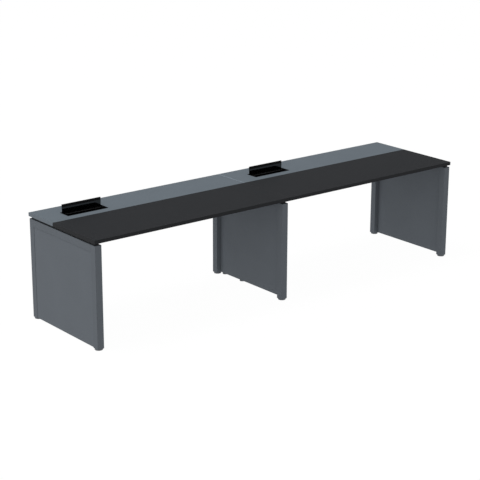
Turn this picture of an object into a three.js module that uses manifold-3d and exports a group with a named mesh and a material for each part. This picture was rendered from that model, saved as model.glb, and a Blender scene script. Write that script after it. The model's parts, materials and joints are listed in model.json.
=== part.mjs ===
// Benching desk for two: a row of two bays on three panel-leg frames, with a black front top and a grey
// rear top in each bay, a flap box with sockets in each rear top, and a cable riser behind the middle leg.
// Millimetres, +Z up. The origin is on the floor under the middle of the desk, +X runs along its length
// and the users sit on the -Y side.
import * as THREE from "three";
import { mergeVertices } from "three/addons/utils/BufferGeometryUtils.js";
import Module from "manifold-3d";

// Tops
const BAY_LENGTH = 1600;
const DESK_DEPTH = 800;
const TOP_HEIGHT = 745;
const TOP_THICKNESS = 25;
const REAR_TOP_DEPTH = 303;
const TOP_JOINT = 1;

// Leg frames of square steel tube
const TUBE = 50;
const TUBE_WALL = 2;
const TUBE_CORNER = 1.5;
const TUBE_BORE_CORNER = 1;
const FRAME_END_INSET = 4;
const FRAME_DEPTH_INSET = 6;
const MIDDLE_FRAME_SETBACK = 6.5;
const POST_CAP = 3;
const POST_NUT_PLATE = 6;

// Spacer bars that hold the tops clear of the frames
const SPACER_HEIGHT = 15;
const SPACER_WIDTH = 30;
const SPACER_END_INSET = 14;
const BEARER_SETBACK = 18;

// Boards that fill the frames
const PANEL_THICKNESS = 15;
const PANEL_RECESS = 2;
const PANEL_FIT = 0.5;
const PANEL_FLOOR_GAP = 13;

// Levelling feet
const FOOT_HEIGHT = 8.5;
const FOOT_RADIUS = 27;
const FOOT_RIM = 5;
const FOOT_CHAMFER = 1.5;
const FOOT_NECK_RADIUS = 24;
const FOOT_STEM_RADIUS = 5;
const FOOT_STEM_LENGTH = 45;
const FOOT_SEAT_GAP = 0.3;
const THREAD_CLEARANCE = 0.3;

// Beams between the frames
const BEAM_HEIGHT = 50;
const BEAM_WIDTH = 30;
const FRONT_BEAM_SETBACK = 210;
const REAR_BEAM_SETBACK = 55;
const BEAM_PLATE_THICKNESS = 5;
const BEAM_PLATE_WIDTH = 80;
const BEAM_HOOK_REACH = 8;
const BEAM_HOOK_THICKNESS = 3;
const BOLT_OFFSET = 27;
const BOLT_RADIUS = 4;
const BOLT_HEAD_RADIUS = 7.5;
const BOLT_HEAD_HEIGHT = 5.3;
const BOLT_GRIP = 6;
const BOLT_CLEARANCE = 0.3;
const BOLT_HOLE_CUT = 20;

// Flap boxes in the rear tops
const FLAP_FROM_BAY_END = 320;
const FLAP_FROM_REAR = 189;
const BEZEL_LENGTH = 320;
const BEZEL_DEPTH = 101;
const BEZEL_FLANGE = 1.5;
const BEZEL_LAP = 3.5;
const BEZEL_WALL = 2;
const BEZEL_DROP = 24;
const BEZEL_HOLE_CLEARANCE = 0.5;
const LEDGE_REACH = 4;
const LEDGE_LENGTH = 20;
const LEDGE_HEIGHT = 5;
const LEDGE_SETBACK = 4;
const STOP_LENGTH = 7;
const STOP_HEIGHT = 5;
const LID_CLEARANCE = 0.5;
const LID_FINGER_GAP = 4;
const LID_THICKNESS = 4;
const LID_LEAN = 3;
const LID_REST_GAP = 0.3;
const HINGE_DROP = 10.8;
const HINGE_FROM_REAR = 20;
const HINGE_ROD_RADIUS = 2;
const HINGE_EAR_RADIUS = 4;
const HINGE_EAR_THICKNESS = 3;
const HINGE_CLEARANCE = 0.2;

// Socket wells under the flap boxes
const WELL_MARGIN = 2;
const WELL_WALL = 2;
const WELL_DEPTH = 60;
const WELL_TAB = 16;
const RAIL_SHEET = 2;
const RAIL_DEPTH = 60;
const RAIL_HEIGHT = 28;
const RAIL_END_GAP = 6;
const SOCKET_PITCH = 62;
const SOCKET_FACE = 46;
const SOCKET_FACE_THICKNESS = 4;
const SOCKET_BODY = 38;
const SOCKET_BODY_DEPTH = 18;
const SOCKET_CLEARANCE = 0.4;
const PLUG_RECESS_RADIUS = 18;
const PLUG_RECESS_DEPTH = 14;
const PIN_RADIUS = 2.4;
const PIN_PITCH = 9.5;
const PIN_OFFSET = 3;
const PIN_DEPTH = 6;
const JACK_WIDTH = 13;
const JACK_HEIGHT = 11;
const JACK_PITCH = 19;
const JACK_DEPTH = 14;

// Cable trays under the rear tops
const TRAY_WIDTH = 180;
const TRAY_DEPTH = 120;
const TRAY_SHEET = 2;
const TRAY_FLANGE = 15;
const TRAY_END_GAP = 20;

// Cable riser behind the middle panel
const RISER_FROM_REAR = 184;
const RISER_WIDTH = 240;
const RISER_DEPTH = 38;
const RISER_SHEET = 2;
const RISER_BASE = 4;
const RISER_BASE_HEIGHT = 22;
const RISER_TOP_GAP = 43;
const RISER_COVER_LIP = 10;
const RISER_COVER_FIT = 0.3;
const RISER_FOOT_SPREAD = 202;
const RISER_FOOT_FROM_PANEL = 9.5;
const RISER_FOOT_RADIUS = 20;
const RISER_FOOT_RIM = 10;
const RISER_FOOT_SLOPE = 3;
const RISER_FOOT_NECK_RADIUS = 8;
const RISER_FOOT_STEM_RADIUS = 4;
const RISER_FOOT_STEM_LENGTH = 40;

// Facets of round shapes
const CORNER_STEPS = 3;
const ROUND_SIDES = 24;
const SMALL_ROUND_SIDES = 12;
const HEXAGON_SIDES = 6;
const WELD_DISTANCE = 1e-4;

// Levels and lines shared by the pieces
const FRONT_Y = -DESK_DEPTH / 2;
const REAR_Y = DESK_DEPTH / 2;
const REAR_TOP_Y = REAR_Y - REAR_TOP_DEPTH;
const TOP_UNDERSIDE = TOP_HEIGHT - TOP_THICKNESS;
const FRAME_TOP = TOP_UNDERSIDE - SPACER_HEIGHT;
const RAIL_UNDERSIDE = FRAME_TOP - TUBE;
const POST_BOTTOM = FOOT_HEIGHT + FOOT_SEAT_GAP;
const FRAME_FRONT_Y = FRONT_Y + FRAME_DEPTH_INSET;
const FRAME_REAR_Y = REAR_Y - FRAME_DEPTH_INSET;
const FLAP_Y = REAR_Y - FLAP_FROM_REAR;

const wasm = await Module();
wasm.setup();

// A closed geometry as a solid that can be cut and joined.
function solid(geometry) {
  const bare = geometry.clone();
  bare.deleteAttribute("normal");
  bare.deleteAttribute("uv");
  const merged = mergeVertices(bare, WELD_DISTANCE);
  return new wasm.Manifold(
    new wasm.Mesh({
      numProp: 3,
      vertProperties: merged.attributes.position.array,
      triVerts: new Uint32Array(merged.index.array),
    }),
  );
}

// The geometry of a finished solid.
function geometryOf(made) {
  const mesh = made.getMesh();
  const geometry = new THREE.BufferGeometry();
  geometry.setAttribute("position", new THREE.BufferAttribute(mesh.vertProperties, 3));
  geometry.setIndex(new THREE.BufferAttribute(mesh.triVerts, 1));
  geometry.computeVertexNormals();
  return geometry;
}

function join(...geometries) {
  return geometryOf(geometries.map(solid).reduce((whole, next) => whole.add(next)));
}

function cut(geometry, ...tools) {
  return geometryOf(tools.map(solid).reduce((left, tool) => left.subtract(tool), solid(geometry)));
}

// A block between two limits on each axis.
function block([x0, x1], [y0, y1], [z0, z1]) {
  const geometry = new THREE.BoxGeometry(x1 - x0, y1 - y0, z1 - z0);
  return geometry.translate((x0 + x1) / 2, (y0 + y1) / 2, (z0 + z1) / 2);
}

// The limits of a size that is centred on a place.
function about(centre, size) {
  return [centre - size / 2, centre + size / 2];
}

// The limits between two places, the lower one first.
function between(a, b) {
  return [Math.min(a, b), Math.max(a, b)];
}

// Points of a rectangle with round corners, anticlockwise.
function roundedRectangle(width, depth, radius) {
  const points = [];
  const corners = [[1, -1], [1, 1], [-1, 1], [-1, -1]];
  corners.forEach(([sideX, sideY], corner) => {
    for (let step = 0; step <= CORNER_STEPS; step += 1) {
      const angle = (corner - 1 + step / CORNER_STEPS) * (Math.PI / 2);
      const x = sideX * (width / 2 - radius) + radius * Math.cos(angle);
      const y = sideY * (depth / 2 - radius) + radius * Math.sin(angle);
      points.push(new THREE.Vector2(x, y));
    }
  });
  return points;
}

// A rounded bar that stands on z = 0.
function bar(width, depth, radius, length) {
  const section = new THREE.Shape(roundedRectangle(width, depth, radius));
  return new THREE.ExtrudeGeometry(section, { depth: length, bevelEnabled: false });
}

// A rounded tube that stands on z = 0 and is open at both ends.
function tube(width, depth, length) {
  const section = new THREE.Shape(roundedRectangle(width, depth, TUBE_CORNER));
  const boreSize = [width - 2 * TUBE_WALL, depth - 2 * TUBE_WALL];
  const inside = roundedRectangle(...boreSize, TUBE_BORE_CORNER);
  section.holes.push(new THREE.Path(inside));
  return new THREE.ExtrudeGeometry(section, { depth: length, bevelEnabled: false });
}

// A round bar that stands on z = 0.
function drum(radius, length, sides = ROUND_SIDES) {
  const geometry = new THREE.CylinderGeometry(radius, radius, length, sides);
  return geometry.rotateX(Math.PI / 2).translate(0, 0, length / 2);
}

// A round bar along X between two limits.
function rod([x0, x1], y, z, radius, sides = ROUND_SIDES) {
  return drum(radius, x1 - x0, sides).rotateY(Math.PI / 2).translate(x0, y, z);
}

// A turned piece whose profile is a list of radius and height pairs.
function turned(profile) {
  const points = profile.map(([radius, height]) => new THREE.Vector2(radius, height));
  return new THREE.LatheGeometry(points, ROUND_SIDES).rotateX(Math.PI / 2);
}

const blackTop = new THREE.MeshStandardMaterial({ color: 0x35363a, roughness: 0.6, metalness: 0 });
const greyTop = new THREE.MeshStandardMaterial({ color: 0x697279, roughness: 0.6, metalness: 0 });
const paintedSteel = new THREE.MeshStandardMaterial({ color: 0x62676d, roughness: 0.5, metalness: 0.1 });
const panelBoard = new THREE.MeshStandardMaterial({ color: 0x62676d, roughness: 0.6, metalness: 0 });
const blackSteel = new THREE.MeshStandardMaterial({ color: 0x1b1b1c, roughness: 0.6, metalness: 0.1 });
const footPlastic = new THREE.MeshStandardMaterial({ color: 0x63666a, roughness: 0.5, metalness: 0 });
const blackPlastic = new THREE.MeshStandardMaterial({ color: 0x0c0c0d, roughness: 0.25, metalness: 0 });
const zincSteel = new THREE.MeshStandardMaterial({ color: 0x9a9c9e, roughness: 0.35, metalness: 0.9 });
const socketPlastic = new THREE.MeshStandardMaterial({ color: 0x1a1a1c, roughness: 0.4, metalness: 0 });

const desk = new THREE.Group();

function add(name, geometry, material) {
  const mesh = new THREE.Mesh(geometry, material);
  mesh.name = name;
  desk.add(mesh);
}

// The two bays: the limits of the tops along X, and the place of the flap box.
const bays = [
  { name: "left", top: [-BAY_LENGTH, -TOP_JOINT / 2], flapX: -BAY_LENGTH + FLAP_FROM_BAY_END },
  { name: "right", top: [TOP_JOINT / 2, BAY_LENGTH], flapX: FLAP_FROM_BAY_END },
];

// The three frames: the middle of the tube along X, and the side that the panel is set towards.
const END_FRAME_X = BAY_LENGTH - FRAME_END_INSET - TUBE / 2;
const frames = {
  left: { x: -END_FRAME_X, outward: -1 },
  middle: { x: -MIDDLE_FRAME_SETBACK - TUBE / 2, outward: 1 },
  right: { x: END_FRAME_X, outward: 1 },
};
bays[0].span = [frames.left.x + TUBE / 2, frames.middle.x - TUBE / 2];
bays[1].span = [frames.middle.x + TUBE / 2, frames.right.x - TUBE / 2];

// The beams of each bay, and the bolt that holds each end.
const beamLines = [
  { name: "front", y: FRONT_Y + FRONT_BEAM_SETBACK, boltSide: 1 },
  { name: "rear", y: REAR_Y - REAR_BEAM_SETBACK, boltSide: -1 },
];
const BEAM_MIDDLE_Z = FRAME_TOP - BEAM_HEIGHT / 2;

// Tops: a plain board in front, and behind it a board with the cut-out for the flap box.
const HOLE_LENGTH = BEZEL_LENGTH - 2 * BEZEL_LAP + 2 * BEZEL_HOLE_CLEARANCE;
const HOLE_DEPTH = BEZEL_DEPTH - 2 * BEZEL_LAP + 2 * BEZEL_HOLE_CLEARANCE;
const TOP_LEVELS = [TOP_UNDERSIDE, TOP_HEIGHT];
for (const bay of bays) {
  add(`${bay.name}_front_top`, block(bay.top, [FRONT_Y, REAR_TOP_Y - TOP_JOINT], TOP_LEVELS), blackTop);
  const board = block(bay.top, [REAR_TOP_Y, REAR_Y], TOP_LEVELS);
  const cutOutLevels = [TOP_UNDERSIDE - TOP_THICKNESS, TOP_HEIGHT + TOP_THICKNESS];
  const cutOut = block(about(bay.flapX, HOLE_LENGTH), about(FLAP_Y, HOLE_DEPTH), cutOutLevels);
  add(`${bay.name}_rear_top`, cut(board, cutOut), greyTop);
}

// A post is a tube with a cap on top and a nut plate at the foot.
function post() {
  const height = FRAME_TOP - POST_BOTTOM;
  const insideWidth = TUBE - 2 * TUBE_WALL;
  const insideHeight = height - POST_CAP - POST_NUT_PLATE;
  const inside = bar(insideWidth, insideWidth, TUBE_BORE_CORNER, insideHeight);
  inside.translate(0, 0, POST_NUT_PLATE);
  const thread = drum(FOOT_STEM_RADIUS + THREAD_CLEARANCE, 2 * POST_NUT_PLATE);
  thread.translate(0, 0, -POST_NUT_PLATE / 2);
  return cut(bar(TUBE, TUBE, TUBE_CORNER, height), inside, thread).translate(0, 0, POST_BOTTOM);
}

// A foot is a turned pad with a threaded stem that runs up into the nut plate.
function foot() {
  const stemTop = FOOT_HEIGHT + FOOT_STEM_LENGTH;
  return turned([
    [0, 0],
    [FOOT_RADIUS - FOOT_CHAMFER, 0],
    [FOOT_RADIUS, FOOT_CHAMFER],
    [FOOT_RADIUS, FOOT_RIM],
    [FOOT_NECK_RADIUS, FOOT_HEIGHT],
    [FOOT_STEM_RADIUS, FOOT_HEIGHT],
    [FOOT_STEM_RADIUS, stemTop],
    [0, stemTop],
  ]);
}

// The rails run between the posts, with a hole for each bolt of the beams that meet them.
function rail(x, holeSides) {
  const railFrontY = FRAME_FRONT_Y + TUBE;
  const railLength = FRAME_REAR_Y - FRAME_FRONT_Y - 2 * TUBE;
  const body = tube(TUBE, TUBE, railLength).rotateX(-Math.PI / 2);
  body.translate(x, railFrontY, FRAME_TOP - TUBE / 2);
  const holes = [];
  for (const line of beamLines) {
    for (const side of holeSides) {
      const face = x + (side * TUBE) / 2;
      const boltY = line.y + line.boltSide * BOLT_OFFSET;
      holes.push(rod(about(face, BOLT_HOLE_CUT), boltY, BEAM_MIDDLE_Z, BOLT_RADIUS + BOLT_CLEARANCE));
    }
  }
  return cut(body, ...holes);
}

const beamSides = { left: [1], middle: [-1, 1], right: [-1] };
for (const [name, { x, outward }] of Object.entries(frames)) {
  const frontPostY = FRAME_FRONT_Y + TUBE / 2;
  const rearPostY = FRAME_REAR_Y - TUBE / 2;
  add(`${name}_front_post`, post().translate(x, frontPostY, 0), paintedSteel);
  add(`${name}_rear_post`, post().translate(x, rearPostY, 0), paintedSteel);
  add(`${name}_top_rail`, rail(x, beamSides[name]), paintedSteel);
  add(`${name}_front_foot`, foot().translate(x, frontPostY, 0), footPlastic);
  add(`${name}_rear_foot`, foot().translate(x, rearPostY, 0), footPlastic);

  const panelFace = x + outward * (TUBE / 2 - PANEL_RECESS);
  const panelMiddle = panelFace - (outward * PANEL_THICKNESS) / 2;
  const panelY = [FRAME_FRONT_Y + TUBE + PANEL_FIT, FRAME_REAR_Y - TUBE - PANEL_FIT];
  const panelZ = [PANEL_FLOOR_GAP, RAIL_UNDERSIDE - PANEL_FIT];
  add(`${name}_panel`, block(about(panelMiddle, PANEL_THICKNESS), panelY, panelZ), panelBoard);

  const spacerY = [FRAME_FRONT_Y + SPACER_END_INSET, FRAME_REAR_Y - SPACER_END_INSET];
  const spacer = block(about(x, SPACER_WIDTH), spacerY, [FRAME_TOP, TOP_UNDERSIDE]);
  add(`${name}_spacer_bar`, spacer, blackSteel);
}

// A beam is a tube with a plate welded on each end, which lies on the side of the rail and hooks over it.
function beam(span, line) {
  const beamLength = span[1] - span[0] - 2 * BEAM_PLATE_THICKNESS;
  const tubeX = span[0] + BEAM_PLATE_THICKNESS;
  const boltY = line.y + line.boltSide * BOLT_OFFSET;
  let body = tube(BEAM_HEIGHT, BEAM_WIDTH, beamLength).rotateY(Math.PI / 2);
  body.translate(tubeX, line.y, BEAM_MIDDLE_Z);
  const bore = block(
    [span[0] - TUBE, span[1] + TUBE],
    about(line.y, BEAM_WIDTH - 2 * TUBE_WALL),
    about(BEAM_MIDDLE_Z, BEAM_HEIGHT - 2 * TUBE_WALL - 2 * TUBE_CORNER),
  );
  for (const [end, inward] of [[span[0], 1], [span[1], -1]]) {
    const plateX = between(end, end + inward * BEAM_PLATE_THICKNESS);
    const hookX = between(end - inward * BEAM_HOOK_REACH, end + inward * BEAM_PLATE_THICKNESS);
    const plateY = about(line.y, BEAM_PLATE_WIDTH);
    const plate = block(plateX, plateY, [FRAME_TOP - BEAM_HEIGHT, FRAME_TOP + BEAM_HOOK_THICKNESS]);
    const hook = block(hookX, plateY, [FRAME_TOP, FRAME_TOP + BEAM_HOOK_THICKNESS]);
    const boltHole = rod(about(end, BOLT_HOLE_CUT), boltY, BEAM_MIDDLE_Z, BOLT_RADIUS + BOLT_CLEARANCE);
    body = join(body, cut(plate, bore, boltHole), hook);
  }
  return body;
}

// A hexagon bolt through the plate of a beam into the wall of the rail.
function beamBolt(end, inward, line) {
  const boltY = line.y + line.boltSide * BOLT_OFFSET;
  const seat = end + inward * BEAM_PLATE_THICKNESS;
  const tip = end - inward * (TUBE_WALL + BOLT_GRIP);
  const headX = between(seat, seat + inward * BOLT_HEAD_HEIGHT);
  const shankX = between(tip, seat + (inward * BOLT_HEAD_HEIGHT) / 2);
  const head = rod(headX, boltY, BEAM_MIDDLE_Z, BOLT_HEAD_RADIUS, HEXAGON_SIDES);
  return join(head, rod(shankX, boltY, BEAM_MIDDLE_Z, BOLT_RADIUS, SMALL_ROUND_SIDES));
}

for (const bay of bays) {
  for (const line of beamLines) {
    add(`${bay.name}_${line.name}_beam`, beam(bay.span, line), blackSteel);
    add(`${bay.name}_${line.name}_beam_bolt_a`, beamBolt(bay.span[0], 1, line), zincSteel);
    add(`${bay.name}_${line.name}_beam_bolt_b`, beamBolt(bay.span[1], -1, line), zincSteel);
  }
}

// The add-on bay has no frame of its own at the seam, so a bar across its beams bears the tops there.
const BEARER_X = bays[1].span[0] + BEARER_SETBACK + SPACER_WIDTH / 2;
const bearerY = [beamLines[0].y - BEAM_WIDTH / 2, beamLines[1].y + BEAM_WIDTH / 2];
const bearer = block(about(BEARER_X, SPACER_WIDTH), bearerY, [FRAME_TOP, TOP_UNDERSIDE]);
add("right_bearer_bar", bearer, blackSteel);
bays[0].trayStart = bays[0].span[0];
bays[1].trayStart = BEARER_X + SPACER_WIDTH / 2;

// A bezel has a flange on the top, a collar in the cut-out, two ledges that the closed lid lies on, and two
// stops that its rear edge meets when it stands open.
const COLLAR_LENGTH = BEZEL_LENGTH - 2 * BEZEL_LAP;
const COLLAR_DEPTH = BEZEL_DEPTH - 2 * BEZEL_LAP;
const OPENING_LENGTH = COLLAR_LENGTH - 2 * BEZEL_WALL;
const OPENING_DEPTH = COLLAR_DEPTH - 2 * BEZEL_WALL;
const OPENING_FRONT_Y = FLAP_Y - OPENING_DEPTH / 2;
const OPENING_REAR_Y = FLAP_Y + OPENING_DEPTH / 2;
const BEZEL_TOP = TOP_HEIGHT + BEZEL_FLANGE;
const BEZEL_BOTTOM = TOP_HEIGHT - BEZEL_DROP;
const HINGE_Y = OPENING_REAR_Y - HINGE_FROM_REAR;
const HINGE_Z = BEZEL_TOP - HINGE_DROP;
const LEAN = THREE.MathUtils.degToRad(LID_LEAN);

// The stops end just short of the inner face of the open lid, level with their undersides.
const LID_FACE = HINGE_DROP - LID_THICKNESS;
const STOP_TOP = BEZEL_BOTTOM + STOP_HEIGHT;
const STOP_DROP = HINGE_Z - BEZEL_BOTTOM;
const STOP_REAR_Y = HINGE_Y + LID_FACE / Math.cos(LEAN) - STOP_DROP * Math.tan(LEAN) - LID_REST_GAP;

function bezel(flapX) {
  const flange = block(about(flapX, BEZEL_LENGTH), about(FLAP_Y, BEZEL_DEPTH), [TOP_HEIGHT, BEZEL_TOP]);
  const collarZ = [BEZEL_BOTTOM, BEZEL_TOP];
  const collar = block(about(flapX, COLLAR_LENGTH), about(FLAP_Y, COLLAR_DEPTH), collarZ);
  const openingZ = [BEZEL_BOTTOM - BEZEL_DROP, BEZEL_TOP + BEZEL_DROP];
  const opening = block(about(flapX, OPENING_LENGTH), about(FLAP_Y, OPENING_DEPTH), openingZ);
  const rodHoleX = about(flapX, 2 * BEZEL_LENGTH);
  const rodHole = rod(rodHoleX, HINGE_Y, HINGE_Z, HINGE_ROD_RADIUS + HINGE_CLEARANCE);
  const ring = cut(join(flange, collar), opening);
  const ledgeTop = BEZEL_TOP - LID_THICKNESS - LID_REST_GAP;
  const ledgeZ = [ledgeTop - LEDGE_HEIGHT, ledgeTop];
  const ledgeY = [OPENING_FRONT_Y + LEDGE_SETBACK, OPENING_FRONT_Y + LEDGE_SETBACK + LEDGE_LENGTH];
  const lugs = [-1, 1].flatMap((side) => {
    const wall = flapX + (side * OPENING_LENGTH) / 2;
    const lugX = between(wall - side * LEDGE_REACH, wall + (side * BEZEL_WALL) / 2);
    const stop = block(lugX, [STOP_REAR_Y - STOP_LENGTH, STOP_REAR_Y], [BEZEL_BOTTOM, STOP_TOP]);
    return [block(lugX, ledgeY, ledgeZ), stop];
  });
  return cut(join(ring, ...lugs), rodHole);
}

// A lid is a plate with an ear at each end for the hinge rod. It is drawn upright at the hinge line, with its
// outer face towards the rear, then leans back against the stops.
function lid(flapX) {
  const lidX = about(flapX, OPENING_LENGTH - 2 * LID_CLEARANCE);
  const freeEdge = HINGE_Y - OPENING_FRONT_Y - LID_CLEARANCE;
  const rearEdge = HINGE_FROM_REAR - LID_FINGER_GAP;
  const plate = block(lidX, [LID_FACE, HINGE_DROP], [-rearEdge, freeEdge]);
  const ears = [-1, 1].flatMap((side) => {
    const end = flapX + side * (OPENING_LENGTH / 2 - LID_CLEARANCE);
    const earX = between(end, end - side * HINGE_EAR_THICKNESS);
    const arm = block(earX, [0, LID_FACE + LID_THICKNESS / 2], [-HINGE_EAR_RADIUS, HINGE_EAR_RADIUS]);
    return [arm, rod(earX, 0, 0, HINGE_EAR_RADIUS)];
  });
  const bore = rod(about(flapX, 2 * BEZEL_LENGTH), 0, 0, HINGE_ROD_RADIUS + HINGE_CLEARANCE);
  return cut(join(plate, ...ears), bore).rotateX(-LEAN).translate(0, HINGE_Y, HINGE_Z);
}

// A well is a folded tray that hangs under the cut-out by a tab at each end.
const WELL_LENGTH = HOLE_LENGTH + 2 * WELL_MARGIN;
const WELL_WIDTH = HOLE_DEPTH + 2 * WELL_MARGIN;
const WELL_FLOOR = TOP_UNDERSIDE - WELL_DEPTH + WELL_WALL;
function well(flapX) {
  const outside = block(
    about(flapX, WELL_LENGTH + 2 * WELL_WALL),
    about(FLAP_Y, WELL_WIDTH + 2 * WELL_WALL),
    [TOP_UNDERSIDE - WELL_DEPTH, TOP_UNDERSIDE],
  );
  const tabs = block(
    about(flapX, WELL_LENGTH + 2 * WELL_WALL + 2 * WELL_TAB),
    about(FLAP_Y, WELL_WIDTH + 2 * WELL_WALL),
    [TOP_UNDERSIDE - WELL_WALL, TOP_UNDERSIDE],
  );
  const inside = block(about(flapX, WELL_LENGTH), about(FLAP_Y, WELL_WIDTH), [WELL_FLOOR, TOP_HEIGHT]);
  return cut(join(outside, tabs), inside);
}

// A socket rail is a channel that stands on the floor of the well, with a window for each socket.
const RAIL_TOP = WELL_FLOOR + RAIL_HEIGHT;
const socketPlaces = [
  { name: "power_socket_a", offset: -SOCKET_PITCH },
  { name: "power_socket_b", offset: 0 },
  { name: "data_socket", offset: SOCKET_PITCH },
];
function socketRail(flapX) {
  const railX = about(flapX, WELL_LENGTH - 2 * RAIL_END_GAP);
  const body = block(railX, about(FLAP_Y, RAIL_DEPTH), [WELL_FLOOR, RAIL_TOP]);
  const underside = [WELL_FLOOR - RAIL_HEIGHT, RAIL_TOP - RAIL_SHEET];
  const insideY = about(FLAP_Y, RAIL_DEPTH - 2 * RAIL_SHEET);
  const inside = block(about(flapX, 2 * WELL_LENGTH), insideY, underside);
  const windowSize = SOCKET_BODY + 2 * SOCKET_CLEARANCE;
  const windows = socketPlaces.map(({ offset }) =>
    block(about(flapX + offset, windowSize), about(FLAP_Y, windowSize), [WELL_FLOOR, TOP_HEIGHT]),
  );
  return cut(body, inside, ...windows);
}

// Every socket is a face plate with a body that hangs through its window in the rail.
function socketBlank(x) {
  const faceTop = RAIL_TOP + SOCKET_FACE_THICKNESS;
  const face = block(about(x, SOCKET_FACE), about(FLAP_Y, SOCKET_FACE), [RAIL_TOP, faceTop]);
  const bodyZ = [RAIL_TOP - SOCKET_BODY_DEPTH, RAIL_TOP + SOCKET_FACE_THICKNESS / 2];
  return join(face, block(about(x, SOCKET_BODY), about(FLAP_Y, SOCKET_BODY), bodyZ));
}

function powerSocket(x) {
  const faceTop = RAIL_TOP + SOCKET_FACE_THICKNESS;
  const recessFloor = faceTop - PLUG_RECESS_DEPTH;
  const recess = drum(PLUG_RECESS_RADIUS, 2 * PLUG_RECESS_DEPTH).translate(x, FLAP_Y, recessFloor);
  const pins = [-1, 0, 1].map((place) =>
    drum(PIN_RADIUS, 2 * PIN_DEPTH, SMALL_ROUND_SIDES).translate(
      x + place * PIN_PITCH,
      FLAP_Y + (place === 0 ? -PIN_OFFSET : 0),
      recessFloor - PIN_DEPTH,
    ),
  );
  return cut(socketBlank(x), recess, ...pins);
}

function dataSocket(x) {
  const faceTop = RAIL_TOP + SOCKET_FACE_THICKNESS;
  const jacks = [-1, 1].map((side) =>
    block(
      about(x + (side * JACK_PITCH) / 2, JACK_WIDTH),
      about(FLAP_Y, JACK_HEIGHT),
      [faceTop - JACK_DEPTH, faceTop + JACK_DEPTH],
    ),
  );
  return cut(socketBlank(x), ...jacks);
}

for (const bay of bays) {
  const rodX = about(bay.flapX, COLLAR_LENGTH);
  add(`${bay.name}_flap_bezel`, bezel(bay.flapX), blackPlastic);
  add(`${bay.name}_flap_lid`, lid(bay.flapX), blackPlastic);
  const hingeRod = rod(rodX, HINGE_Y, HINGE_Z, HINGE_ROD_RADIUS, SMALL_ROUND_SIDES);
  add(`${bay.name}_flap_hinge_rod`, hingeRod, blackSteel);
  add(`${bay.name}_socket_well`, well(bay.flapX), blackSteel);
  add(`${bay.name}_socket_rail`, socketRail(bay.flapX), blackSteel);
  for (const { name, offset } of socketPlaces) {
    const make = name === "data_socket" ? dataSocket : powerSocket;
    add(`${bay.name}_${name}`, make(bay.flapX + offset), socketPlastic);
  }
}

// A cable tray is a folded trough screwed under the rear top by a flange on each side.
for (const bay of bays) {
  const trayX = [bay.trayStart + TRAY_END_GAP, bay.span[1] - TRAY_END_GAP];
  const trayZ = [TOP_UNDERSIDE - TRAY_DEPTH, TOP_UNDERSIDE];
  const outside = block(trayX, about(FLAP_Y, TRAY_WIDTH + 2 * TRAY_SHEET), trayZ);
  const flangeY = about(FLAP_Y, TRAY_WIDTH + 2 * TRAY_SHEET + 2 * TRAY_FLANGE);
  const flanges = block(trayX, flangeY, [TOP_UNDERSIDE - TRAY_SHEET, TOP_UNDERSIDE]);
  const insideX = [trayX[0] - TRAY_END_GAP, trayX[1] + TRAY_END_GAP];
  const inside = block(insideX, about(FLAP_Y, TRAY_WIDTH), [trayZ[0] + TRAY_SHEET, TOP_HEIGHT]);
  add(`${bay.name}_cable_tray`, cut(join(outside, flanges), inside), blackSteel);
}

// The cable riser is a trough fixed to the middle panel, with a base plate on two feet and a clip-on cover.
const riserBackX = frames.middle.x + TUBE / 2 - PANEL_RECESS;
const riserFrontX = riserBackX + RISER_DEPTH;
const riserY = REAR_Y - RISER_FROM_REAR;
const riserTop = RAIL_UNDERSIDE - RISER_TOP_GAP;
const riserZ = [RISER_BASE_HEIGHT, riserTop];
const riserFeet = [
  { name: "riser_front_foot", y: riserY - RISER_FOOT_SPREAD / 2 },
  { name: "riser_rear_foot", y: riserY + RISER_FOOT_SPREAD / 2 },
];
const riserFootX = riserBackX + RISER_FOOT_FROM_PANEL;
const riserOutside = block([riserBackX, riserFrontX], about(riserY, RISER_WIDTH), riserZ);
const riserInside = block(
  [riserBackX + RISER_SHEET, riserFrontX + RISER_DEPTH],
  about(riserY, RISER_WIDTH - 2 * RISER_SHEET),
  [RISER_BASE_HEIGHT + RISER_BASE, riserTop + RISER_DEPTH],
);
const riserThreads = riserFeet.map(({ y }) =>
  drum(RISER_FOOT_STEM_RADIUS + THREAD_CLEARANCE, 2 * RISER_BASE).translate(
    riserFootX,
    y,
    RISER_BASE_HEIGHT - RISER_BASE / 2,
  ),
);
add("riser_body", cut(riserOutside, riserInside, ...riserThreads), paintedSteel);

const riserCoverX = [riserFrontX, riserFrontX + RISER_SHEET];
const coverLips = [-1, 1].map((side) => {
  const outer = riserY + side * (RISER_WIDTH / 2 - RISER_SHEET - RISER_COVER_FIT);
  const lipY = between(outer - side * RISER_SHEET, outer);
  const lipZ = [RISER_BASE_HEIGHT + RISER_BASE + RISER_COVER_FIT, riserTop];
  return block([riserFrontX - RISER_COVER_LIP, riserFrontX + RISER_SHEET / 2], lipY, lipZ);
});
const coverSheet = block(riserCoverX, about(riserY, RISER_WIDTH), riserZ);
add("riser_cover", join(coverSheet, ...coverLips), paintedSteel);

const RISER_SEAT = RISER_BASE_HEIGHT - FOOT_SEAT_GAP;
const riserStemTop = RISER_SEAT + RISER_FOOT_STEM_LENGTH;
for (const { name, y } of riserFeet) {
  const pad = turned([
    [0, 0],
    [RISER_FOOT_RADIUS, 0],
    [RISER_FOOT_RADIUS, RISER_FOOT_RIM - RISER_FOOT_SLOPE],
    [RISER_FOOT_NECK_RADIUS, RISER_FOOT_RIM],
    [RISER_FOOT_NECK_RADIUS, RISER_SEAT],
    [RISER_FOOT_STEM_RADIUS, RISER_SEAT],
    [RISER_FOOT_STEM_RADIUS, riserStemTop],
    [0, riserStemTop],
  ]);
  add(name, pad.translate(riserFootX, y, 0), footPlastic);
}

export default desk;
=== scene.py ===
import json
import math

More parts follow.
